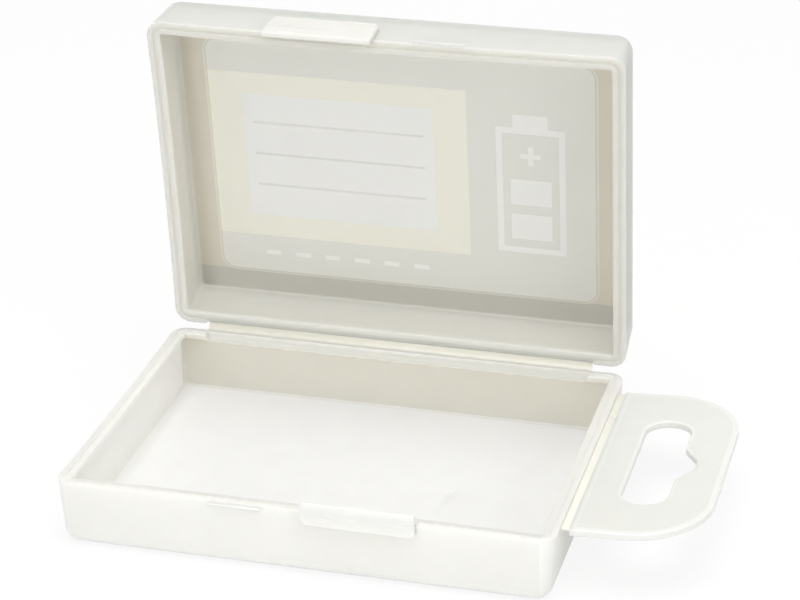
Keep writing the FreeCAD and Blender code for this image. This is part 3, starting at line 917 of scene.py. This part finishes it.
def snap_tongue(name, middle, root):
    """A snap tongue on the front of one half, with its root on the wall and its catch."""
    halves, _, snaps = settings()[:3]
    front = -halves.short_side / 2
    outside = front - snaps.proud
    inside = outside + snaps.thick
    half = snaps.tongue_width / 2
    piece = block_at(name, (middle - half, outside, -root), (middle + half, inside, snaps.reach))
    for height in (0.0, snaps.catch_foot):
        slice_all((0, 0, height), (0, 0, 1))
    pick("FACE", lambda face: face.normal.y > FACING and face.calc_center_median().z < 0)
    pull_out(y=front + snaps.seat - inside)
    pick("FACE", lambda face: face.normal.y > FACING
         and face.calc_center_median().z > snaps.catch_foot)
    pull_out(y=front - snaps.catch_gap - inside)
    pick("EDGE", lambda edge: level(edge, snaps.reach) and lies(edge, 1, front - snaps.catch_gap))
    bevel(snaps, "catch_lead")
    pick("EDGE", lambda edge: level(edge, -root)
         and (lies(edge, 0, middle - half) or lies(edge, 0, middle + half)))
    bevel(snaps, "root_corner")
    turned = snaps.root_corner - root + HAIR
    pick("EDGE", lambda edge: lies(edge, 1, outside)
         and max(corner.co.z for corner in edge.verts) < turned)
    bevel(snaps, "back_round")
    return on_bent_wall(piece, middle, "edge_round")


def bead(name, middle):
    """A low bar that the other half's tongue snaps over, with sloping faces."""
    halves, _, snaps = settings()[:3]
    front = -halves.short_side / 2
    top = -snaps.bead_drop
    half = snaps.bead_length / 2
    piece = block_at(name, (middle - half, front - snaps.bead_proud, top - snaps.bead_height),
                     (middle + half, front + snaps.seat, top))
    pick("FACE", lambda face: face.normal.y < -FACING)
    bpy.ops.transform.resize(value=(snaps.bead_end, 1, snaps.bead_top))
    return on_bent_wall(piece, middle, "bead_round")


class POCKETBOX_OT_snaps(Operator):
    """Model the snap tongues and the beads on both fronts"""
    bl_idname = "pocketbox.snaps"
    bl_label = "Snaps"

    def execute(self, context):
        snaps = settings()[2]
        tray = ("tray_plastic", "base", tray_place())
        lid = ("lid_plastic", "lid", lid_place())
        for piece, material, node, (slot, body, place) in (
                (snap_tongue("tray_tongue", snaps.tray_place, snaps.tray_root), "tray_snap_milk",
                 "base_clasp", tray),
                (snap_tongue("lid_tongue", snaps.lid_place, snaps.lid_root), "lid_snap_milk",
                 "lid_clasp", lid),
                (bead("tray_bead", -snaps.lid_place), "tray_snap_milk", "base_catch_bead", tray),
                (bead("lid_bead", -snaps.tray_place), "lid_snap_milk", "lid_catch_bead", lid)):
            settle(piece, material, body, node, place)
        return {"FINISHED"}


def bent_strip(name, path, half_length, across, thickness):
    """A thin strip drawn along a path that runs across it, along Y (across 1) or X (across 0)."""
    deselect()
    first, spot = path[:2]
    size = [2 * half_length, 2 * half_length, 1]
    size[across] = (spot - first).length
    bpy.ops.mesh.primitive_plane_add(size=1.0, location=(first + spot) / 2)
    bpy.context.object.scale = size
    piece = start_piece(name)
    pick("EDGE", lambda edge: lies(edge, across, spot[across]))
    for following in path[2:]:
        pull_out(*(following - spot))
        spot = following
    bpy.ops.mesh.select_all(action="SELECT")
    bpy.ops.mesh.normals_make_consistent(inside=False)
    leave_edit()
    modify(piece, "SOLIDIFY", thickness=thickness, offset=0.0)
    modify(piece, "BEVEL", width=thickness * settings()[1].web_edge, segments=2,
           limit_method="ANGLE", angle_limit=math.radians(SHARP_STRIP))
    return piece


def creased(path, height):
    """The same path with its inner points set off to both sides in turn."""
    made = list(path)
    for index in range(2, len(path) - 2):
        along = (path[index + 1] - path[index - 1]).normalized()
        off = along.cross(Vector((1, 0, 0)) if abs(along.x) < 0.5 else Vector((0, 1, 0)))
        made[index] = path[index] + off * height * (-1) ** index
    return made


class POCKETBOX_OT_webs(Operator):
    """Model the two thin webs of the hinges, in the shape that they take at rest"""
    bl_idname = "pocketbox.webs"
    bl_label = "Hinge webs"

    def execute(self, context):
        halves, hinge = settings()[:2]
        self.lid_web(halves, hinge)
        self.tab_web(hinge)
        return {"FINISHED"}

    def lid_web(self, halves, hinge):
        lid = lid_place()
        back = halves.short_side / 2
        low = halves.tray_depth - hinge.web / 2 - hinge.sink
        under = -hinge.recess_depth - hinge.web / 2 - hinge.sink
        first = Vector((0, back, low))
        last = lid @ Vector((0, back, under))
        lid_out = (lid.to_3x3() @ Vector((0, 1, 0))).normalized()
        reach = (last - first).length * hinge.web_pull
        curve = interpolate_bezier(first, first + Vector((0, reach, 0)),
                                   last + lid_out * reach, last, WEB_STEPS + 1)
        path = [first - Vector((0, hinge.seat, 0))] + curve + [last - lid_out * hinge.seat]
        web = bent_strip("lid_web", creased(path, hinge.ripple),
                         hinge.half_length - hinge.web_play, 1, hinge.web)
        settle(web, "web_milk", None, "lid_hinge_web", None, 60.0)
        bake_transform(web)

    def tab_web(self, hinge):
        low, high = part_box("tab_hinge_web")
        axis = Vector(HINGES["tab_hinge"]["pos_m"])
        span = high.x - low.x
        stations = [low.x + span * step / TAB_WEB_STEPS for step in range(TAB_WEB_STEPS + 1)]
        stations = [low.x - hinge.seat] + stations + [high.x + hinge.seat]
        slope = math.tan(hinge.tab_tilt)
        path = [Vector((place, 0, axis.z + hinge.tab_web_rise + max(place - axis.x, 0) * slope))
                for place in stations]
        web = bent_strip("tab_web", creased(path, hinge.ripple),
                         hinge.tab_half_length, 0, hinge.web)
        settle(web, "web_milk", None, "tab_hinge_web", None, 60.0)
        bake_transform(web)


class POCKETBOX_OT_solids(Operator):
    """Give the tab and the label, whose solids are right as they are, their finishes"""
    bl_idname = "pocketbox.solids"
    bl_label = "Tab and label"

    def execute(self, context):
        for node, material in (("hang_tab", "tab_milk"), ("lid_label", "label_print")):
            solid = frame["nodes"][node]
            solid.data.materials.clear()
            solid.data.materials.append(finishes()[material])
        return {"FINISHED"}


class POCKETBOX_OT_studio(Operator):
    """Set up the camera, the white ground, the world and the lamps"""
    bl_idname = "pocketbox.studio"
    bl_label = "Studio"

    def execute(self, context):
        scene = context.scene
        studio = scene.pocket_box_studio
        scene.view_settings.view_transform = "Standard"
        self.camera(scene)
        self.ground(studio)
        self.world(scene, studio)
        for name, kind in LAMPS.items():
            self.lamp(scene, name, getattr(studio, name), *kind)
        return {"FINISHED"}

    def camera(self, scene):
        yaw, pitch, roll = (math.radians(CAMERA_TURN[name]) for name in ("yaw", "pitch", "roll"))
        camera = bpy.data.cameras.new("camera")
        camera.lens = CAMERA_LENS
        camera.sensor_width = SENSOR_WIDTH
        camera.clip_start = 0.01
        camera.clip_end = 20
        holder = bpy.data.objects.new("camera", camera)
        holder.location = CAMERA_PLACE
        turned = Matrix.Rotation(yaw, 3, "Z") @ Matrix.Rotation(math.pi / 2 - pitch, 3, "X")
        holder.rotation_euler = (turned @ Matrix.Rotation(roll, 3, "Z")).to_euler()
        scene.collection.objects.link(holder)
        scene.camera = holder

    def ground(self, studio):
        deselect()
        bpy.ops.mesh.primitive_plane_add(size=studio.ground_size, location=(0, 0, 0))
        ground = bpy.context.object
        ground.name = "floor"
        finish = Finish(bpy.data.materials.new("floor_white"))
        finish.set("Principled BSDF", {"Base Color": studio.ground_colour, "Roughness": 0.8})
        lit = Value(finish, finish.tree.nodes["Principled BSDF"].outputs[0])
        white = finish.node("Emission", {"Color": (1, 1, 1, 1), "Strength": 1.0})
        both = finish.node("MixShader", [self.seen(finish) * studio.ground, lit, white])
        finish.set("Material Output", {"Surface": both})
        ground.data.materials.append(finish.owner)

    def seen(self, finish):
        """1 for rays that show the surroundings themselves, to the eye or in a reflection."""
        shown = finish.node("LightPath", output="Is Camera Ray")
        outputs = shown.socket.node.outputs
        for kind in ("Is Glossy Ray", "Is Transmission Ray"):
            shown = shown | Value(finish, outputs[kind])
        return shown

    def world(self, scene, studio):
        scene.world = bpy.data.worlds.new("studio")
        finish = Finish(scene.world)
        white = finish.node("Background", {"Color": (1, 1, 1, 1), "Strength": 1.0})
        light = finish.node("Background", {"Color": studio.sky, "Strength": studio.ambient})
        both = finish.node("MixShader", [self.seen(finish), light, white])
        finish.set("World Output", {"Surface": both})

    def lamp(self, scene, name, watts, place, aim_height, size):
        light = bpy.data.lights.new(name, "AREA")
        light.shape = "DISK"
        light.size = size
        light.energy = watts
        holder = bpy.data.objects.new(name, light)
        holder.location = place
        line = Vector(place) - Vector((0, 0, aim_height))
        holder.rotation_euler = line.to_track_quat("Z", "Y").to_euler()
        scene.collection.objects.link(holder)


STEPS = (POCKETBOX_OT_tray, POCKETBOX_OT_lid, POCKETBOX_OT_snaps, POCKETBOX_OT_webs,
         POCKETBOX_OT_solids, POCKETBOX_OT_studio)
GROUPS = (("pocket_box_halves", PocketBoxHalves), ("pocket_box_hinge", PocketBoxHinge),
          ("pocket_box_snaps", PocketBoxSnaps), ("pocket_box_tab", PocketBoxTab),
          ("pocket_box_label", PocketBoxLabel), ("pocket_box_look", PocketBoxLook),
          ("pocket_box_studio", PocketBoxStudio))


class POCKETBOX_PT_panel(Panel):
    """Lists the steps that build the box, and its sizes and colours"""
    bl_idname = "POCKETBOX_PT_panel"
    bl_label = "Pocket box"
    bl_space_type = "VIEW_3D"
    bl_region_type = "UI"
    bl_category = "Pocket box"

    def draw(self, context):
        for step in STEPS:
            self.layout.operator(step.bl_idname)
        for name, group in GROUPS:
            column = self.layout.column()
            for setting in group.__annotations__:
                column.prop(getattr(context.scene, name), setting)


def register():
    for name, group in GROUPS:
        bpy.utils.register_class(group)
        setattr(bpy.types.Scene, name, PointerProperty(type=group))
    for made in STEPS + (POCKETBOX_PT_panel,):
        bpy.utils.register_class(made)


def unregister():
    for made in reversed(STEPS + (POCKETBOX_PT_panel,)):
        bpy.utils.unregister_class(made)
    for name, group in reversed(GROUPS):
        delattr(bpy.types.Scene, name)
        bpy.utils.unregister_class(group)


def main():
    register()
    bpy.ops.pocketbox.tray()
    bpy.ops.pocketbox.lid()
    bpy.ops.pocketbox.snaps()
    bpy.ops.pocketbox.webs()
    bpy.ops.pocketbox.solids()
    bpy.ops.pocketbox.studio()


if __name__ == "__main__":
    main()
